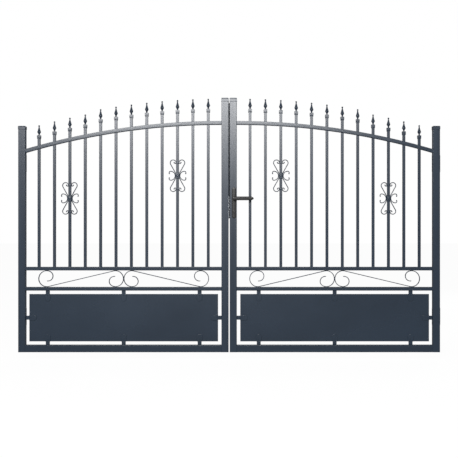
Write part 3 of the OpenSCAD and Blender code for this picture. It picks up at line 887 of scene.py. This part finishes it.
def hex_bolt(bm, seat, out, across, height):
    """A washer and a hexagon head on a seat."""
    seat, out = Vector(seat), Vector(out)
    rod(bm, seat, seat + out * 1.6 * MM, across * 0.62, 0.3 * MM, sides=28)
    rod(bm, seat + out * 1.4 * MM, seat + out * (1.6 * MM + height), across / math.sqrt(3), 0.9 * MM,
        sides=6)


def hinge_eyes(bm):
    for low, high in solids("left_hinge_eyes"):
        z = (low.z + high.z) / 2
        back = hinge_high.y
        block(bm, (hinge_low.x, back, z - PLATE_H / 2), (hinge_high.x, back + STRAP_T, z + PLATE_H / 2),
              1.5 * MM)
        block(bm, (pin_x - WEB_HALF, back + MM, z - EYE_HALF + MM),
              (pin_x + WEB_HALF, pin_y, z + EYE_HALF - MM), 1.5 * MM)
        rod(bm, (pin_x, pin_y, z - EYE_HALF), (pin_x, pin_y, z + EYE_HALF), EYE_R, 1.5 * MM, sides=40)


def strap_bolts(bm):
    for low, high in solids("left_hinge_eyes"):
        z = (low.z + high.z) / 2
        for dz in (-STRAP_BOLT_Z, STRAP_BOLT_Z):
            x = (hinge_low.x + hinge_high.x) / 2
            hex_bolt(bm, (x, hinge_high.y + STRAP_T, z + dz), (0, 1, 0), 13 * MM, 5.5 * MM)


both_leaves("hinge_straps_and_eyes", hinge_eyes, hinge_coat, ["hinge_eyes"])
both_leaves("strap_bolts", strap_bolts, zinc)

# %% Wall hinges
ARM_T = 10 * MM
WALL_T = 5 * MM
WALL_W = 50 * MM
PIN_UP = 26 * MM
ANCHOR_Z = 40 * MM


def wall_hinge(bm, node):
    low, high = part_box(node)
    z = (low.z + high.z) / 2
    arm_top = z - EYE_HALF - 0.5 * MM
    block(bm, (low.x, high.y - WALL_W, z - PLATE_H / 2), (low.x + WALL_T, high.y, z + PLATE_H / 2),
          1.3 * MM)
    block(bm, (low.x + WALL_T - MM, pin_y - 10 * MM, arm_top - ARM_T), (pin_x, pin_y + 30 * MM, arm_top),
          1.2 * MM)
    rod(bm, (pin_x, pin_y, arm_top - ARM_T), (pin_x, pin_y, arm_top), 10 * MM, 1.2 * MM)
    rod(bm, (pin_x, pin_y, arm_top - MM), (pin_x, pin_y, z + PIN_UP), PIN_R, 1.8 * MM)


def anchors(bm, node):
    low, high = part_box(node)
    z, y = (low.z + high.z) / 2, high.y - WALL_W / 2
    for dz in (-ANCHOR_Z, ANCHOR_Z):
        hex_bolt(bm, (low.x + WALL_T, y, z + dz), (1, 0, 0), 16 * MM, 6.4 * MM)


for side in ("left", "right"):
    for level in ("lower", "upper"):
        for label, make, finish, slot in (("pin_bracket", wall_hinge, hinge_coat, "hinge_coat"),
                                          ("anchor_bolts", anchors, zinc, None)):
            bm = bmesh.new()
            make(bm, f"left_{level}_wall_hinge")
            stands_for = [f"{side}_{level}_wall_hinge"] if slot else []
            piece(f"{side}_{level}_{label}", bm, "pier_hinges", finish, stands_for,
                  side == "right")

# %% [markdown]
# Meeting edge. A Z profile on the back of the left leaf covers the upper part of the gap between the
# leaves, and a strip of rubber on its lip takes up the rest. Below it, at the lock, the rubber runs on
# behind the gap, and there sit the steel keeper on the left leaf and the lock's face plate on the right
# leaf, each held by two screws.

# %% Meeting strip, seal, keeper and lock face
strip_low, strip_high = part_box("left_meeting_strip")
keeper_low, keeper_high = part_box("left_lock_keeper")
face_low, face_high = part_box("right_lock_face")
STRIP_WALL = 3 * MM
STRIP_ROUND = 0.7 * MM
SEAL_PLAY = 0.6 * MM
SEAL_ROUND = 0.9 * MM
seal_x = 2 * middle_x - meeting_high.x - SEAL_PLAY
bm = bmesh.new()
block(bm, strip_low, (meeting_high.x, strip_low.y + STRIP_WALL, strip_high.z), STRIP_ROUND)
block(bm, (meeting_high.x - STRIP_WALL, strip_low.y, strip_low.z), (meeting_high.x, *strip_high.yz),
      STRIP_ROUND)
block(bm, (meeting_high.x - STRIP_WALL, strip_high.y - STRIP_WALL, strip_low.z), strip_high, STRIP_ROUND)
piece("left_z_profile", bm, "left_leaf", upright_coat, ["left_meeting_strip"])

bm = bmesh.new()
block(bm, (strip_high.x - MM, strip_high.y - 2.6 * MM, strip_low.z),
      (seal_x, strip_high.y - 0.4 * MM, strip_high.z + 6 * MM), SEAL_ROUND)
block(bm, (meeting_high.x - 12 * MM, meeting_high.y, keeper_low.z),
      (seal_x, meeting_high.y + 3 * MM, strip_low.z), SEAL_ROUND)
piece("left_edge_seal", bm, "left_leaf", rubber_and_slot_shade)

bm = bmesh.new()
block(bm, keeper_low, keeper_high, 0.5 * MM)
for z in (keeper_low.z + 15 * MM, keeper_high.z - 15 * MM):
    button_screw(bm, (keeper_high.x - 0.2 * MM, (keeper_low.y + keeper_high.y) / 2, z), (1, 0, 0), 4 * MM,
                 0.5 * MM)
piece("left_keeper_plate", bm, "left_leaf", brushed_steel, ["left_lock_keeper"])

bm = bmesh.new()
block(bm, face_low, face_high, 0.4 * MM)
for z in (face_low.z + 12 * MM, face_high.z - 12 * MM):
    button_screw(bm, (face_low.x + 0.2 * MM, (face_low.y + face_high.y) / 2, z), (-1, 0, 0), 3.5 * MM,
                 0.4 * MM)
piece("right_lock_face_plate", bm, "right_leaf", brushed_steel, ["right_lock_face"])

# %% [markdown]
# Handle plates. A long plate with round ends backs each lever. It is raised in the middle, with a
# slope all round to a narrow flat, so the raised plate helper makes it. A ring sits round the lever's
# neck. The rear plate mirrors the front one about the middle of the stile.

# %% Handle plates
PLATE_WALL, PLATE_SLOPE = 4 * MM, (8 * MM, 3.6 * MM)
lever_low, lever_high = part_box("front_lever")
plate_low, plate_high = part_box("front_handle_plate")
spindle_low, spindle_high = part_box("handle_spindle")
axis_x = (spindle_low.x + spindle_high.x) / 2
axis_z = (spindle_low.z + spindle_high.z) / 2
to_rear = Matrix.Translation((0, 2 * mid_y, 0)) @ Matrix.Scale(-1, 4, (0, 1, 0))


def handle_plate(bm):
    x0, x1, y = plate_low.x, plate_high.x, plate_high.y
    corners = [(x0, y, plate_high.z), (x1, y, plate_high.z), (x1, y, plate_low.z), (x0, y, plate_low.z)]
    raised_plate(bm, corners, (((0, 1, 2, 3), (x1 - x0) / 2 * ROUND_END, 10),), PLATE_WALL,
                 *PLATE_SLOPE, (0, -1, 0))
    rod(bm, (axis_x, y, axis_z), (axis_x, plate_low.y - 1.5 * MM, axis_z), 12 * MM, 1.2 * MM)
    button_screw(bm, (axis_x, plate_low.y + 0.5 * MM, plate_low.z + 13 * MM), (0, -1, 0), 3.4 * MM,
                 1.6 * MM)


for side, turned in (("front", Matrix.Identity(4)), ("rear", to_rear)):
    bm = bmesh.new()
    handle_plate(bm)
    bmesh.ops.transform(bm, matrix=turned, verts=bm.verts)
    piece(f"{side}_backplate", bm, "right_leaf", handle_coat, [f"{side}_handle_plate"])

# %% [markdown]
# Levers. A lever is a flat grip on a round neck. The grip's face slopes on all sides to a narrow flat,
# its root is round about the axis, and its tip is cut to a blunt point, so it is the same kind of
# raised plate, lying down. Both levers and the spindle between them turn with the handle.

# %% Levers
GRIP_T = 12 * MM
GRIP_WALL, GRIP_SLOPE_IN = 6.6 * MM, 6.8 * MM
NECK_R = 9 * MM


def lever(bm):
    root, tip = lever_low.x, lever_high.x
    half = (lever_high.z - lever_low.z) / 2
    y = lever_low.y + GRIP_T
    shoulder, blunt = tip - 15 * MM, 2.5 * MM
    corners = [(root, y, axis_z + half), (shoulder, y, axis_z + half), (tip, y, axis_z + blunt),
               (tip, y, axis_z - blunt), (shoulder, y, axis_z - half), (root, y, axis_z - half)]
    raised_plate(bm, corners, (((0, 5), half * ROUND_END, 10), ((1, 4), 3 * MM, 3)), GRIP_WALL,
                 GRIP_SLOPE_IN, GRIP_T - GRIP_WALL, (0, -1, 0))
    rod(bm, (axis_x, lever_high.y, axis_z), (axis_x, y - 2 * MM, axis_z), NECK_R, 0)
    rod(bm, (axis_x, y + 5 * MM, axis_z), (axis_x, y - MM, axis_z), 9.5 * MM, 0.8 * MM, 11 * MM)


for side, turned in (("front", Matrix.Identity(4)), ("rear", to_rear)):
    bm = bmesh.new()
    lever(bm)
    bmesh.ops.transform(bm, matrix=turned, verts=bm.verts)
    piece(f"{side}_lever_handle", bm, "handle", handle_coat, [f"{side}_lever"])

# %% [markdown]
# Lock cylinder. The key turns in a profile cylinder: a round barrel with a narrow web under it, which
# passes through both plates. A rotor sits in each end. Its key slot is not cut: a thin black block on the
# rotor's face is painted shade that stands for the dark slot.

# %% Lock cylinder and spindle
cylinder_low, cylinder_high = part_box("lock_cylinder")
BARREL_R = 8.5 * MM
WEB_W = 10 * MM
ROTOR_R = 6.5 * MM
SLOT = (0.7 * MM, 0.75 * MM, 4 * MM)
barrel_z = cylinder_high.z - BARREL_R
bm = bmesh.new()
rod(bm, (axis_x, cylinder_low.y, barrel_z), (axis_x, cylinder_high.y, barrel_z), BARREL_R, 0.7 * MM)
block(bm, (axis_x - WEB_W / 2, cylinder_low.y, cylinder_low.z),
      (axis_x + WEB_W / 2, cylinder_high.y, barrel_z), 0.9 * MM)
for y, out in ((cylinder_low.y, -1), (cylinder_high.y, 1)):
    rod(bm, (axis_x, y - out * MM, barrel_z), (axis_x, y + out * 0.6 * MM, barrel_z), ROTOR_R, 0.3 * MM)
piece("profile_cylinder", bm, "right_leaf", handle_coat, ["lock_cylinder"])
# The key slots are painted shade: a thin black block on each rotor's face stands for the dark opening.
bm = bmesh.new()
for y, out in ((cylinder_low.y, -1), (cylinder_high.y, 1)):
    block(bm, (axis_x - SLOT[0], min(y, y + out * SLOT[1]), barrel_z - SLOT[2]),
          (axis_x + SLOT[0], max(y, y + out * SLOT[1]), barrel_z + SLOT[2]), 0.2 * MM)
piece("key_slots", bm, "right_leaf", rubber_and_slot_shade)
frame["nodes"]["handle_spindle"].data.materials.clear()
frame["nodes"]["handle_spindle"].data.materials.append(brushed_steel)
print(sum(triangles.values()), "triangles in", len(triangles), "pieces, most in",
      max(triangles, key=triangles.get))

# %% [markdown]
# Floor and light. The gate hangs a little above a plain pale floor. The background is white for the
# camera, in reflections and through gaps, while a much dimmer world gives the fill light. One large
# soft box stands high in front, a little to the left, and draws the bright sheen on the upper part of
# the gate. A weaker one lights the back. The floor shows mostly white and keeps a soft shadow.

# %% Floor and world
FLOOR_GAP = 60 * MM
FLOOR_WHITE = 0.97
FILL = 0.1
WHITE = (1, 1, 1, 1)


def seen_rays(tree):
    """1 for camera, glossy and transmission rays, which see the white background, and 0 for the rest."""
    path = tree.nodes.new("ShaderNodeLightPath")
    value = path.outputs["Is Camera Ray"]
    for name in ("Is Glossy Ray", "Is Transmission Ray"):
        either = tree.nodes.new("ShaderNodeMath")
        either.operation = "MAXIMUM"
        tree.links.new(value, either.inputs[0])
        tree.links.new(path.outputs[name], either.inputs[1])
        value = either.outputs["Value"]
    return value


bm = bmesh.new()
bmesh.ops.create_grid(bm, x_segments=1, y_segments=1, size=60,
                      matrix=Matrix.Translation((middle_x, 0, cad_bounds[0].z - FLOOR_GAP)))
floor_mesh = bpy.data.meshes.new("floor")
bm.to_mesh(floor_mesh)
bm.free()
floor = bpy.data.objects.new("floor", floor_mesh)
bpy.context.scene.collection.objects.link(floor)

floor_paint = bpy.data.materials.new("pale_floor")
floor_paint.use_nodes = True
nodes, links = floor_paint.node_tree.nodes, floor_paint.node_tree.links
paint = nodes["Principled BSDF"]
paint.inputs["Base Color"].default_value = (0.8, 0.8, 0.8, 1)
paint.inputs["Roughness"].default_value = 0.9
white = nodes.new("ShaderNodeEmission")
white.inputs["Color"].default_value = WHITE
white.inputs["Strength"].default_value = 1
share = nodes.new("ShaderNodeMath")
share.operation = "MULTIPLY"
share.inputs[1].default_value = FLOOR_WHITE
links.new(seen_rays(floor_paint.node_tree), share.inputs[0])
mix = nodes.new("ShaderNodeMixShader")
links.new(share.outputs["Value"], mix.inputs["Fac"])
links.new(paint.outputs["BSDF"], mix.inputs[1])
links.new(white.outputs["Emission"], mix.inputs[2])
links.new(mix.outputs["Shader"], nodes["Material Output"].inputs["Surface"])
floor_mesh.materials.append(floor_paint)

world = bpy.data.worlds.new("pale_studio")
bpy.context.scene.world = world
world.use_nodes = True
nodes, links = world.node_tree.nodes, world.node_tree.links
fill = nodes["Background"]
fill.inputs["Color"].default_value = WHITE
fill.inputs["Strength"].default_value = FILL
backdrop = nodes.new("ShaderNodeBackground")
backdrop.inputs["Color"].default_value = WHITE
backdrop.inputs["Strength"].default_value = 1
blend_world = nodes.new("ShaderNodeMixShader")
links.new(seen_rays(world.node_tree), blend_world.inputs["Fac"])
links.new(fill.outputs["Background"], blend_world.inputs[1])
links.new(backdrop.outputs["Background"], blend_world.inputs[2])
links.new(blend_world.outputs["Shader"], nodes["World Output"].inputs["Surface"])
print("floor", FLOOR_GAP, "m below the gate, world fill", FILL)


# %% Soft boxes
FRONT_POWER, REAR_POWER = 1200, 300


def soft_box(name, at, target, width, height, power):
    data = bpy.data.lights.new(name, "AREA")
    data.shape = "RECTANGLE"
    data.size, data.size_y = width, height
    data.energy = power
    lamp = bpy.data.objects.new(name, data)
    lamp.location = at
    lamp.rotation_euler = (Vector(target) - Vector(at)).to_track_quat("-Z", "Y").to_euler()
    bpy.context.scene.collection.objects.link(lamp)


gate_middle = (cad_bounds[0] + cad_bounds[1]) / 2
soft_box("front_soft_box", (gate_middle.x - 0.9, -7.9, 3.4), gate_middle, 4.2, 2.2, FRONT_POWER)
soft_box("rear_soft_box", (gate_middle.x + 3.5, 6.5, 4.2), gate_middle, 3, 2, REAR_POWER)

# %% [markdown]
# Camera. It stands level, a little right of the middle and at about the height of the lower third of
# the gate, far enough away for the verticals to stay upright. A small sideways shift brings the gate
# back to the middle of the frame.

# %% Camera
LENS = 81.02
SIDEWAYS, DISTANCE, HEIGHT = 0.178, 7.45, 0.629
view = bpy.data.cameras.new("front_view")
view.sensor_width = 36
view.lens = LENS
view.shift_x = -0.0547
camera = bpy.data.objects.new("front_view", view)
camera.location = (gate_middle.x + SIDEWAYS, -DISTANCE, HEIGHT)
camera.rotation_euler = (math.radians(90), 0, 0)
bpy.context.scene.collection.objects.link(camera)
bpy.context.scene.camera = camera
bpy.context.scene.view_settings.view_transform = "Standard"
